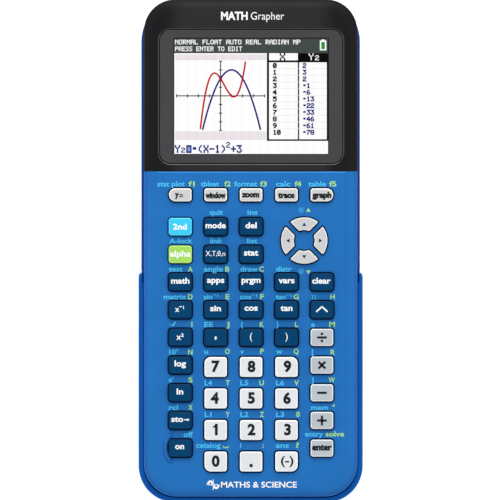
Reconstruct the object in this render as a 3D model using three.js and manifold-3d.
// A graphing calculator with its slide-on hard cover stored on its back, lying face up.
// Millimetres. +X is to the user's right, +Y runs towards the display end, +Z comes out of the keys.
// The origin is at the middle of the cover's underside, where the calculator rests on a desk.
import * as THREE from "three";
import { mergeVertices } from "three/addons/utils/BufferGeometryUtils.js";
import Module from "manifold-3d";

const wasm = await Module();
wasm.setup();

// ---------------------------------------------------------------- driving dimensions
const LENGTH = 188.6; // from the cover's end wall to the calculator's top end
const COVER_W = 84.1; // over the cover's grip rails
const FLANGE_W = 82.4; // over the flange between the two housings
const BODY_W = 80.0; // over the front housing
const TOP_R = 11.85; // corner radius at the display end
const FOOT_R = 12.35; // corner radius at the keypad end
const END_WALL = 2.0; // the cover's end wall
const SEAT = 0.1; // gap between pieces that are fastened together
const RUN = 0.3; // gap between pieces that slide on each other

// Heights above the desk.
const COVER_PLATE = 1.6;
const BACK_Z = 2.0; // the rear housing's back
const FLANGE_Z = 10.6; // underside of the flange
const PART_Z = 12.2; // where the two housings meet
const FACE_Z = 18.2; // the front face
const LIP_Z = 14.0; // top of the cover's rails
const KEY_RISE = 1.2; // how far the keys stand above the face

const WALL = 1.6; // moulded side walls
const PLATE = 1.5; // the front housing's face
const EDGE_RUN = 4.5; // the face rolls down to the sides over this width
const EDGE_DROP = 1.8; // and by this much
const BACK_ROUND = 2.4; // radius round the back's edge
const TRAY_INSET = 0.2; // the rear housing's sides stand in from the front's
const TONGUE_HALF_W = 40.7; // over the part of the flange that runs in the cover's rails

const TOP_Y = LENGTH / 2;
const COVER_FOOT_Y = -LENGTH / 2;
const FOOT_Y = COVER_FOOT_Y + END_WALL + RUN;
const BEZEL_Y = 29.8; // lower edge of the black bezel
const RAIL_TOP_Y = -7.9; // upper end of the cover's rails
const COVER_TOP_Y = TOP_Y - 1.8;
const COVER_ROUND = 1.2; // radius round the cover's lower edge
const LEAD_IN = 0.5; // the rails' lips stand back by this much at their upper ends
const LEAD_IN_LENGTH = 4.2;

// The display and its window.
const WINDOW = { x: 0.2, y: 57.8, w: 69.0, h: 50.5, r: 4.2 };
const DISPLAY = { x: 0.2, y: 58.0, w: 57.6, h: 43.2 }; // the lit area, 320 by 240 dots of 0.18 mm
const MODULE = { w: 69.2, h: 50.0, z0: 12.4, glass_z: 15.1 };
const BEZEL_T = 1.4;
const BEZEL_SKIRT = 1.2;

// The keys.
const COLUMN = 13.25; // spacing of the five columns
const KEYS_X = 0.17; // the middle column stands this far right of the centre line
const ROW = 10.36; // spacing of the function rows
const ROW_1_Y = 9.1; // the row that holds the second-function key
const ROW_0_Y = 21.0; // the short keys below the display
const DIGIT_ROW = 11.8;
const DIGIT_TOP_Y = -43.4;
const KEY_W = 8.65;
const FUNCTION_H = 6.6;
const DIGIT_H = 7.7;
const SOFT_H = 5.1; // height of the short keys
const KEY_R = 1.1;
const WIDE_R = 2.5; // the rounder corners of the keys that end a group
const KEY_GAP = 0.35; // between a key and its opening
const KEY_FLANGE = 0.65; // how far the flange under the face reaches past the key
const KEY_FLANGE_T = 1.0;
const STEM_R = 1.5;
const PAD = { x: 20.05, y: 3.9, outer: 8.7, inner: 3.9, spoke: 2.3 };

// Inside.
const BOARD_Z = 10.7;
const BOARD_T = 1.2;
const BOARD_HALF_W = 32.6;
const BOARD_TOP_Y = 84.0;
const BOARD_STEP_Y = -79.5; // below here the board narrows to clear the screw bosses
const BOARD_FOOT_Y = -86.5;
const BOARD_FOOT_HALF_W = 21.0;
const SHEET_Z = 12.0;
const SHEET_T = 0.7;
const DOME_TOP_Z = 14.4;
const SCREWS = [
  [30.0, 87.5],
  [36.0, 10.0],
  [30.5, -84.0],
];
const POST = { r: 2.2, hole_r: 1.1 }; // under the front housing, for the screws' threads
const BOSS = { r: 2.8, well_r: 2.0, well_top: 8.4, hole_r: 1.15 }; // in the rear housing, round the screws
const USB = { x: 17.0, w: 7.7, h: 3.9, depth: 9.0 };
const BAY = { y: -36.0, w: 44.0, h: 66.0 };
const DOOR = { w: 49.4, h: 78.0, t: 1.4, r: 3.0, screw_y: 36.0, hole_r: 1.2, sink_r: 2.1, sink: 0.7 };
const LEAD_NOTCH = { x0: -20.0, x1: -14.0, z: 7.4 }; // where the cell's lead leaves its bay
const DOME = { foot_r: 2.6, top_r: 1.9 };
const CHIPS = [
  { x: -4, y: 24, w: 17, h: 17, t: 1.4 }, // processor
  { x: -4, y: 44, w: 12, h: 8, t: 1.2 }, // memory
  { x: 12, y: 36, w: 5, h: 5, t: 1.0 }, // power supply
  { x: -17, y: 4, w: 7, h: 4.5, t: 3.4 }, // the cell's socket
  { x: 24, y: 58, w: 4.5, h: 4.5, t: 2.2 }, // reset switch
];
const RESET = { x: 24.0, y: 58.0 };

// ---------------------------------------------------------------- shapes and solids

// A rectangle with a radius at each corner, in the order bottom left, bottom right, top right, top left.
function roundedRect(cx, cy, w, h, radii, segments = 6) {
  const [bl, br, tr, tl] = Array.isArray(radii) ? radii : [radii, radii, radii, radii];
  const left = cx - w / 2;
  const right = cx + w / 2;
  const low = cy - h / 2;
  const high = cy + h / 2;
  const corners = [
    [left + bl, low + bl, bl, Math.PI],
    [right - br, low + br, br, 1.5 * Math.PI],
    [right - tr, high - tr, tr, 0],
    [left + tl, high - tl, tl, 0.5 * Math.PI],
  ];
  const points = corners.flatMap(([x, y, r, start]) =>
    Array.from({ length: segments + 1 }, (_, i) => {
      const angle = start + (i / segments) * (Math.PI / 2);
      return new THREE.Vector2(x + r * Math.cos(angle), y + r * Math.sin(angle));
    }),
  );
  return new THREE.Shape(points);
}

// The plan of the calculator or of its cover, between two ends, with its own radius at each end.
function bodyPlan(halfWidth, lowY, highY, lowR, highR, segments = 8) {
  const radii = [lowR, lowR, highR, highR];
  return roundedRect(0, (lowY + highY) / 2, 2 * halfWidth, highY - lowY, radii, segments);
}

function toManifold(geometry) {
  geometry.deleteAttribute("normal");
  geometry.deleteAttribute("uv");
  const merged = mergeVertices(geometry, 1e-4);
  const mesh = new wasm.Mesh({
    numProp: 3,
    vertProperties: merged.attributes.position.array,
    triVerts: new Uint32Array(merged.index.array),
  });
  return new wasm.Manifold(mesh);
}

function prism(shape, z0, z1) {
  const geometry = new THREE.ExtrudeGeometry(shape, { depth: z1 - z0, bevelEnabled: false });
  return toManifold(geometry.translate(0, 0, z0));
}

function box(x0, x1, y0, y1, z0, z1) {
  const geometry = new THREE.BoxGeometry(x1 - x0, y1 - y0, z1 - z0);
  return toManifold(geometry.translate((x0 + x1) / 2, (y0 + y1) / 2, (z0 + z1) / 2));
}

function post(x, y, radius, z0, z1, sides = 12, topRadius = radius) {
  const geometry = new THREE.CylinderGeometry(topRadius, radius, z1 - z0, sides);
  return toManifold(geometry.rotateX(Math.PI / 2).translate(x, y, (z0 + z1) / 2));
}

// A prism whose edge is rolled over at one end: at the top if up is true, or else at the bottom.
function rolled(shape, z0, z1, run, drop, up) {
  const geometry = new THREE.ExtrudeGeometry(shape, {
    depth: z1 - z0,
    bevelSize: run,
    bevelOffset: -run,
    bevelThickness: drop,
    bevelSegments: 3,
  });
  const reach = 2 * LENGTH;
  if (up) {
    const whole = toManifold(geometry.translate(0, 0, z0 - drop));
    return whole.subtract(box(-reach, reach, -reach, reach, z0 - reach, z0));
  }
  const whole = toManifold(geometry.translate(0, 0, z0 + drop));
  return whole.subtract(box(-reach, reach, -reach, reach, z1, z1 + reach));
}

const root = new THREE.Group();

function addNode(name, solid, material) {
  const made = solid.getMesh();
  const geometry = new THREE.BufferGeometry();
  geometry.setAttribute("position", new THREE.BufferAttribute(new Float32Array(made.vertProperties), 3));
  geometry.setIndex(new THREE.BufferAttribute(new Uint32Array(made.triVerts), 1));
  geometry.computeVertexNormals();
  const mesh = new THREE.Mesh(geometry, material);
  mesh.name = name;
  root.add(mesh);
}

function plastic(color, roughness) {
  return new THREE.MeshStandardMaterial({ color, roughness, metalness: 0 });
}

const finish = {
  face: plastic(0x2c6cb8, 0.45),
  bezel: plastic(0x2b2b2c, 0.5),
  lens: plastic(0x454547, 0.15),
  rear: plastic(0x1b4fa0, 0.5),
  cover: plastic(0x1c55a8, 0.5),
  darkKey: plastic(0x12476b, 0.5),
  whiteKey: plastic(0xeceef0, 0.45),
  greyKey: plastic(0xc3cad0, 0.45),
  shortKey: plastic(0xd6d8da, 0.45),
  secondKey: plastic(0x3fc1ee, 0.45),
  alphaKey: plastic(0x9fd45f, 0.45),
  rubber: plastic(0xb8bcc0, 0.8),
  board: plastic(0x1f5a36, 0.6),
  cell: new THREE.MeshStandardMaterial({ color: 0xb9bec4, roughness: 0.35, metalness: 0.7 }),
  panel: new THREE.MeshStandardMaterial({ color: 0x9aa0a6, roughness: 0.3, metalness: 0.6 }),
};

// ---------------------------------------------------------------- the keyboard's layout

const column = (n) => (n - 2) * COLUMN + KEYS_X;
const row = (n) => ROW_1_Y - (n - 1) * ROW;
const digitRow = (n) => DIGIT_TOP_Y - n * DIGIT_ROW;

// One rectangular key. round lists the corners that are rounder, of bl, br, tr and tl.
function rectKey(name, x, y, h, material, round = []) {
  const radii = ["bl", "br", "tr", "tl"].map((corner) => (round.includes(corner) ? WIDE_R : KEY_R));
  const plan = (grow) =>
    roundedRect(x, y, KEY_W + 2 * grow, h + 2 * grow, radii.map((r) => r + grow), 2);
  const flange = box(
    x - KEY_W / 2 - KEY_FLANGE,
    x + KEY_W / 2 + KEY_FLANGE,
    y - h / 2 - KEY_FLANGE,
    y + h / 2 + KEY_FLANGE,
    0,
    KEY_FLANGE_T,
  );
  return { name, x, y, plan, flange, material };
}

function keyRow(names, firstColumn, y, h, material) {
  return names.map((name, i) => rectKey(name, column(firstColumn + i), y, h, material));
}

function functionRow(names, firstColumn, n) {
  return keyRow(names, firstColumn, row(n), FUNCTION_H, finish.darkKey);
}

// The plan of one quarter of the cursor ring, turned to its place. grow is a clearance all round.
function sectorPlan(turn, grow) {
  const outer = PAD.outer + grow;
  const inner = PAD.inner - grow;
  const inset = PAD.spoke / 2 - grow;
  const outerHalf = Math.PI / 4 - Math.asin(inset / outer);
  const innerHalf = Math.PI / 4 - Math.asin(inset / inner);
  const arc = (radius, from, to, steps) =>
    Array.from({ length: steps + 1 }, (_, i) => {
      const angle = turn + from + ((to - from) * i) / steps;
      return new THREE.Vector2(PAD.x + radius * Math.cos(angle), PAD.y + radius * Math.sin(angle));
    });
  return new THREE.Shape([
    ...arc(outer, -outerHalf, outerHalf, 8),
    ...arc(inner, innerHalf, -innerHalf, 4),
  ]);
}

function arrowKey(name, turn) {
  const middle = (PAD.outer + PAD.inner) / 2;
  const x = PAD.x + middle * Math.cos(turn);
  const y = PAD.y + middle * Math.sin(turn);
  const flange = prism(sectorPlan(turn, 0.5), 0, KEY_FLANGE_T);
  return { name, x, y, plan: (grow) => sectorPlan(turn, grow), flange, material: finish.shortKey };
}

const keys = [
  rectKey("key_y_equals", column(0), ROW_0_Y, SOFT_H, finish.shortKey, ["bl", "tl"]),
  ...keyRow(["key_window", "key_zoom", "key_trace"], 1, ROW_0_Y, SOFT_H, finish.shortKey),
  rectKey("key_graph", column(4), ROW_0_Y, SOFT_H, finish.shortKey, ["br", "tr"]),
  rectKey("key_2nd", column(0), row(1), FUNCTION_H, finish.secondKey),
  ...functionRow(["key_mode", "key_del"], 1, 1),
  rectKey("key_alpha", column(0), row(2), FUNCTION_H, finish.alphaKey),
  ...functionRow(["key_variable", "key_stat"], 1, 2),
  ...functionRow(["key_math", "key_apps", "key_prgm", "key_vars", "key_clear"], 0, 3),
  ...functionRow(["key_reciprocal", "key_sin", "key_cos", "key_tan", "key_power"], 0, 4),
  ...functionRow(["key_square", "key_comma", "key_open_paren", "key_close_paren"], 0, 5),
  ...["key_log", "key_ln", "key_store", "key_on"].map((name, i) =>
    rectKey(name, column(0), row(6 + i), FUNCTION_H, finish.darkKey),
  ),
  ...["key_divide", "key_multiply", "key_minus", "key_plus", "key_enter"].map((name, i) =>
    rectKey(name, column(4), row(5 + i), FUNCTION_H, finish.greyKey),
  ),
  rectKey("key_7", column(1), digitRow(0), DIGIT_H, finish.whiteKey, ["tl"]),
  rectKey("key_8", column(2), digitRow(0), DIGIT_H, finish.whiteKey),
  rectKey("key_9", column(3), digitRow(0), DIGIT_H, finish.whiteKey, ["tr"]),
  ...keyRow(["key_4", "key_5", "key_6"], 1, digitRow(1), DIGIT_H, finish.whiteKey),
  ...keyRow(["key_1", "key_2", "key_3"], 1, digitRow(2), DIGIT_H, finish.whiteKey),
  rectKey("key_0", column(1), digitRow(3), DIGIT_H, finish.whiteKey, ["bl"]),
  rectKey("key_decimal_point", column(2), digitRow(3), DIGIT_H, finish.whiteKey),
  rectKey("key_negative", column(3), digitRow(3), DIGIT_H, finish.whiteKey, ["br"]),
  arrowKey("key_right", 0),
  arrowKey("key_up", Math.PI / 2),
  arrowKey("key_left", Math.PI),
  arrowKey("key_down", 1.5 * Math.PI),
];

// ---------------------------------------------------------------- the keys

// A moulded cap that comes up through the face, a flange that stops it there, and a stem down to its dome.
function makeKey(key) {
  const flangeTop = FACE_Z - PLATE - 0.2;
  const flangeLow = flangeTop - KEY_FLANGE_T;
  const cap = prism(key.plan(0), flangeTop - 0.1, FACE_Z + KEY_RISE);
  const flange = key.flange.translate([0, 0, flangeLow]);
  const stem = post(key.x, key.y, STEM_R, DOME_TOP_Z + SEAT, flangeLow + 0.1, 8);
  return cap.add(flange).add(stem);
}

// ---------------------------------------------------------------- the housings

// The outside of the two front pieces together: the face with its rolled edge.
function frontBlock() {
  const plan = bodyPlan(BODY_W / 2, FOOT_Y, TOP_Y, FOOT_R, TOP_R);
  return rolled(plan, PART_Z + SEAT, FACE_Z, EDGE_RUN, EDGE_DROP, true);
}

function insetPlan(inset) {
  const half = BODY_W / 2 - inset;
  return bodyPlan(half, FOOT_Y + inset, TOP_Y - inset, FOOT_R - inset, TOP_R - inset);
}

// Everything of a solid on the display's side of a line across the body.
function above(solid, y) {
  return solid.intersect(box(-LENGTH, LENGTH, y, LENGTH, -LENGTH, LENGTH));
}

function bothSides(points) {
  return points.flatMap(([x, y]) => [
    [x, y],
    [-x, y],
  ]);
}

// The blue front moulding: the keypad's face, and a lower deck under the bezel that holds the display.
function frontHousing() {
  const deckTop = FACE_Z - BEZEL_T - SEAT;
  const deckLow = deckTop - BEZEL_T;
  const low = PART_Z + SEAT;
  const skirt = BEZEL_SKIRT + SEAT;
  const bezelRoom = above(
    prism(insetPlan(-1), 0, FACE_Z + 1).subtract(prism(insetPlan(skirt), 0, deckTop)),
    BEZEL_Y,
  );
  const webY = BEZEL_Y - WALL; // the step between face and deck
  const keypadRoom = prism(insetPlan(WALL), 0, FACE_Z - PLATE).subtract(
    box(-LENGTH, LENGTH, webY, LENGTH, deckLow, FACE_Z),
  );
  const displayRoom = above(prism(insetPlan(skirt + WALL), 0, deckLow), webY);
  const upperWall = above(prism(insetPlan(0), 0, FACE_Z).subtract(displayRoom), webY);
  let solid = frontBlock().subtract(keypadRoom).add(upperWall.intersect(frontBlock()));
  solid = solid.subtract(bezelRoom);
  for (const [x, y] of bothSides(SCREWS)) {
    const ceiling = y > BEZEL_Y ? deckLow : FACE_Z - PLATE;
    solid = solid.add(post(x, y, POST.r, PART_Z + 2 * SEAT, ceiling + 0.2));
    solid = solid.subtract(post(x, y, POST.hole_r, 0, ceiling - 0.5, 10));
  }
  const cutouts = keys.map((key) => prism(key.plan(KEY_GAP), FACE_Z - 3, FACE_Z + 1));
  const displayOpening = roundedRect(DISPLAY.x, DISPLAY.y, DISPLAY.w + 1.4, DISPLAY.h + 1.4, 0.8, 2);
  cutouts.push(prism(displayOpening, 0, FACE_Z));
  return solid.subtract(wasm.Manifold.union(cutouts));
}

// The black cap over the display end, with the window's opening.
function screenBezel() {
  const room = prism(insetPlan(BEZEL_SKIRT), 0, FACE_Z - BEZEL_T);
  const opening = prism(roundedRect(WINDOW.x, WINDOW.y, WINDOW.w, WINDOW.h, WINDOW.r), 0, FACE_Z + 1);
  return above(frontBlock(), BEZEL_Y + SEAT).subtract(room).subtract(opening);
}

function displayWindow() {
  const { x, y, w, h, r } = WINDOW;
  const plan = roundedRect(x, y, w - 2 * RUN, h - 2 * RUN, r - RUN);
  return prism(plan, FACE_Z - BEZEL_T, FACE_Z - RUN);
}

// The colour display: a pressed metal tray with its glass panel standing a little above it.
function displayModule() {
  const frame = roundedRect(DISPLAY.x, DISPLAY.y, MODULE.w, MODULE.h, 0.8, 2);
  const glass = roundedRect(DISPLAY.x, DISPLAY.y, DISPLAY.w + 2.8, DISPLAY.h + 2.8, 0.4, 1);
  return prism(frame, MODULE.z0, MODULE.glass_z - 0.5).add(prism(glass, MODULE.z0 + 1, MODULE.glass_z));
}

// The blue back moulding: a tray with the flange that the cover's rails run under, screw wells, and the
// battery bay.
function rearHousing() {
  const trayPlan = insetPlan(TRAY_INSET);
  const roomPlan = insetPlan(TRAY_INSET + WALL);
  const floorZ = BACK_Z + WALL;
  const room = prism(roomPlan, floorZ, FACE_Z);

  const wide = bodyPlan(FLANGE_W / 2, FOOT_Y, TOP_Y - 3.0, FOOT_R, FOOT_R);
  const narrow = bodyPlan(TONGUE_HALF_W, FOOT_Y, TOP_Y - 4.0, FOOT_R + 0.7, FOOT_R);
  const edge = above(prism(wide, FLANGE_Z, PART_Z), RAIL_TOP_Y + RUN);
  const flange = edge.add(prism(narrow, FLANGE_Z, PART_Z));

  let solid = rolled(trayPlan, BACK_Z, PART_Z, BACK_ROUND, BACK_ROUND, false).add(flange).subtract(room);

  const pad = roundedRect(0, BAY.y, DOOR.w + 5, DOOR.h + 5, DOOR.r + 2, 3);
  const bayWall = roundedRect(0, BAY.y, BAY.w + 2.8, BAY.h + 2.8, 2, 2);
  const bay = roundedRect(0, BAY.y, BAY.w, BAY.h, 0.8, 2);
  const recess = roundedRect(0, BAY.y, DOOR.w + 2 * RUN, DOOR.h + 2 * RUN, DOOR.r + RUN, 3);
  const doorTop = BACK_Z + DOOR.t + SEAT;
  solid = solid.add(prism(pad, doorTop, doorTop + 1.5)).add(prism(bayWall, doorTop, BOARD_Z - 0.5));
  for (const side of [-1, 1]) {
    solid = solid.add(post(0, BAY.y + side * DOOR.screw_y, 2.5, doorTop, doorTop + 5));
  }
  solid = solid.subtract(prism(bay, 0, PART_Z)).subtract(prism(recess, 0, doorTop));
  for (const side of [-1, 1]) {
    solid = solid.subtract(post(0, BAY.y + side * DOOR.screw_y, 1.1, 0, doorTop + 4.2, 10));
  }
  // The lead from the cell leaves through a notch in the bay's upper wall.
  const bayTop = BAY.y + BAY.h / 2;
  solid = solid.subtract(box(LEAD_NOTCH.x0, LEAD_NOTCH.x1, bayTop - 1, bayTop + 3, LEAD_NOTCH.z, BOARD_Z));

  for (const [x, y] of bothSides(SCREWS)) {
    solid = solid.add(post(x, y, BOSS.r, floorZ - 0.4, PART_Z));
    solid = solid.subtract(post(x, y, BOSS.well_r, 0, BOSS.well_top));
    solid = solid.subtract(post(x, y, BOSS.hole_r, 0, FACE_Z, 10));
  }
  const port = USB.w / 2 + RUN;
  const portLow = BOARD_Z - USB.h - RUN;
  solid = solid.subtract(box(USB.x - port, USB.x + port, TOP_Y - 3, TOP_Y + 1, portLow, BOARD_Z + RUN));
  return solid.subtract(post(RESET.x, RESET.y, 1.1, 0, floorZ + 1, 10));
}

function batteryDoor() {
  let solid = prism(roundedRect(0, BAY.y, DOOR.w, DOOR.h, DOOR.r, 3), BACK_Z, BACK_Z + DOOR.t);
  for (const side of [-1, 1]) {
    const y = BAY.y + side * DOOR.screw_y;
    solid = solid.subtract(post(0, y, DOOR.hole_r, 0, FACE_Z, 10));
    solid = solid.subtract(post(0, y, DOOR.sink_r, 0, BACK_Z + DOOR.sink, 12));
  }
  return solid;
}

// ---------------------------------------------------------------- the slide-on cover

// A tray whose lower half has rails that reach round the calculator's flange. It slides off past the
// keypad end.
function slideCover() {
  const gripHalf = COVER_W / 2;
  const slimHalf = FLANGE_W / 2 - 0.2;
  const wallTop = FLANGE_Z - RUN;
  const gripPlan = bodyPlan(gripHalf, COVER_FOOT_Y, COVER_TOP_Y, FOOT_R + 1.5, TOP_R);
  const slimPlan = bodyPlan(slimHalf, COVER_FOOT_Y, COVER_TOP_Y, FOOT_R, TOP_R);
  const lipHalf = BODY_W / 2 + RUN;
  const reach = COVER_TOP_Y + LENGTH / 3; // past the open end

  const chamfer = (COVER_W - FLANGE_W) / 2 + 0.9;
  const grip = rolled(gripPlan, 0, LIP_Z, COVER_ROUND, COVER_ROUND, false);
  const gripCut = new THREE.Shape([
    new THREE.Vector2(-LENGTH, RAIL_TOP_Y - chamfer),
    new THREE.Vector2(-gripHalf, RAIL_TOP_Y - chamfer),
    new THREE.Vector2(-gripHalf + chamfer, RAIL_TOP_Y),
    new THREE.Vector2(gripHalf - chamfer, RAIL_TOP_Y),
    new THREE.Vector2(gripHalf, RAIL_TOP_Y - chamfer),
    new THREE.Vector2(LENGTH, RAIL_TOP_Y - chamfer),
    new THREE.Vector2(LENGTH, LENGTH),
    new THREE.Vector2(-LENGTH, LENGTH),
  ]);
  const lower = grip.subtract(prism(gripCut, -1, LENGTH));
  // The slim side walls end where the corners begin, so that they pass the calculator's straight sides.
  const cornerRoom = above(prism(slimPlan, COVER_PLATE, LENGTH), COVER_TOP_Y - TOP_R);
  const slim = rolled(slimPlan, 0, wallTop, COVER_ROUND, COVER_ROUND, false).subtract(cornerRoom);

  const cavity = bodyPlan(BODY_W / 2 - TRAY_INSET + RUN, FOOT_Y, reach, FOOT_R, 2);
  const channel = bodyPlan(TONGUE_HALF_W + RUN, FOOT_Y - RUN, reach, FOOT_R + 1, 2);
  const lip = bodyPlan(lipHalf, FOOT_Y - RUN, reach, FOOT_R + RUN, 2);
  // The lips stand back a little at their upper ends, as a lead-in.
  const leadIn = new THREE.Shape([
    new THREE.Vector2(-lipHalf, RAIL_TOP_Y - LEAD_IN_LENGTH),
    new THREE.Vector2(-lipHalf - LEAD_IN, RAIL_TOP_Y - LEAD_IN_LENGTH / 2),
    new THREE.Vector2(-lipHalf - LEAD_IN, RAIL_TOP_Y + WALL),
    new THREE.Vector2(lipHalf + LEAD_IN, RAIL_TOP_Y + WALL),
    new THREE.Vector2(lipHalf + LEAD_IN, RAIL_TOP_Y - LEAD_IN_LENGTH / 2),
    new THREE.Vector2(lipHalf, RAIL_TOP_Y - LEAD_IN_LENGTH),
  ]);
  return lower
    .add(slim)
    .subtract(prism(cavity, COVER_PLATE, LENGTH))
    .subtract(prism(channel, wallTop, PART_Z + RUN))
    .subtract(prism(lip, PART_Z, LENGTH))
    .subtract(prism(leadIn, PART_Z, LENGTH));
}

// ---------------------------------------------------------------- the electronics

function boardPlan(topY) {
  return new THREE.Shape([
    new THREE.Vector2(-BOARD_FOOT_HALF_W, BOARD_FOOT_Y),
    new THREE.Vector2(BOARD_FOOT_HALF_W, BOARD_FOOT_Y),
    new THREE.Vector2(BOARD_FOOT_HALF_W, BOARD_STEP_Y),
    new THREE.Vector2(BOARD_HALF_W, BOARD_STEP_Y),
    new THREE.Vector2(BOARD_HALF_W, topY),
    new THREE.Vector2(-BOARD_HALF_W, topY),
    new THREE.Vector2(-BOARD_HALF_W, BOARD_STEP_Y),
    new THREE.Vector2(-BOARD_FOOT_HALF_W, BOARD_STEP_Y),
  ]);
}

// The circuit board, with its chips, the cell's socket, the reset switch and the USB socket soldered
// underneath.
function mainBoard() {
  const sunk = BOARD_Z + 0.1; // how far up the soldered parts reach into the board
  const usbTab = box(USB.x - 7, USB.x + 7, BOARD_TOP_Y - 1, BOARD_TOP_Y + 7, BOARD_Z, BOARD_Z + BOARD_T);
  const chips = CHIPS.map(({ x, y, w, h, t }) =>
    box(x - w / 2, x + w / 2, y - h / 2, y + h / 2, BOARD_Z - t, sunk),
  );
  const usbFront = TOP_Y - 0.9;
  const usbLow = BOARD_Z - USB.h;
  const usb = box(USB.x - USB.w / 2, USB.x + USB.w / 2, usbFront - USB.depth, usbFront, usbLow, sunk);
  const mouth = box(USB.x - 3.35, USB.x + 3.35, usbFront - 7, usbFront + 1, usbLow + 0.5, BOARD_Z - 0.5);
  const tongue = box(USB.x - 2.5, USB.x + 2.5, usbFront - 7.5, usbFront - 1.5, usbLow + 1.4, BOARD_Z - 1.5);
  return prism(boardPlan(BOARD_TOP_Y), BOARD_Z, BOARD_Z + BOARD_T)
    .add(usbTab)
    .add(wasm.Manifold.union(chips))
    .add(post(RESET.x, RESET.y, 0.9, BOARD_Z - 4.2, BOARD_Z - 2, 10))
    .add(usb)
    .subtract(mouth)
    .add(tongue);
}

// The silicone sheet under the keys, with a dome for each.
function keypadMembrane() {
  const domes = keys.map((key) =>
    post(key.x, key.y, DOME.foot_r, SHEET_Z + 0.2, DOME_TOP_Z, 8, DOME.top_r),
  );
  return prism(boardPlan(ROW_0_Y + 4.5), SHEET_Z, SHEET_Z + SHEET_T).add(wasm.Manifold.union(domes));
}

function batteryPack() {
  const plan = roundedRect(0, BAY.y - 0.5, BAY.w - 3, BAY.h - 4, 1.2, 2);
  return prism(plan, BACK_Z + DOOR.t + 0.3, BOARD_Z - 1.3);
}

// ---------------------------------------------------------------- the assembly

addNode("front_housing", frontHousing(), finish.face);
addNode("screen_bezel", screenBezel(), finish.bezel);
addNode("display_window", displayWindow(), finish.lens);
addNode("display_module", displayModule(), finish.panel);
addNode("keypad_membrane", keypadMembrane(), finish.rubber);
addNode("main_board", mainBoard(), finish.board);
addNode("battery_pack", batteryPack(), finish.cell);
addNode("rear_housing", rearHousing(), finish.rear);
addNode("battery_door", batteryDoor(), finish.rear);
addNode("slide_cover", slideCover(), finish.cover);
for (const key of keys) {
  addNode(key.name, makeKey(key), key.material);
}

export default root;
